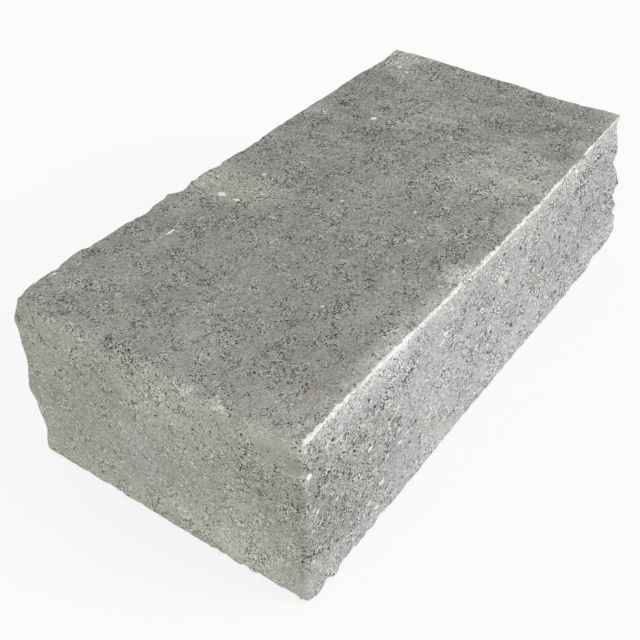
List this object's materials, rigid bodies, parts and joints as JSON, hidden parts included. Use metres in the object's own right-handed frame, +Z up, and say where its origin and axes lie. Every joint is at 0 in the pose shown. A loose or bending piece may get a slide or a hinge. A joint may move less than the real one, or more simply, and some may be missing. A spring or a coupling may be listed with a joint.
{
  "type": "retaining wall block",
  "caption": "Solid oblong concrete block with a split front face, slightly leaning ends and chipped arrises, laid in courses to hold back soil.",
  "frame": {"origin": "middle of the bottom bed", "axes": "+X along the length towards the far end, +Y from the split front face to the back, +Z up"},
  "size_m": [0.3078, 0.1517, 0.089],
  "materials": {
    "concrete": "matte, pitted cast concrete with a paler split face"
  },
  "bodies": {
    "root": {"wall_block": "concrete"}
  },
  "joints": []
}
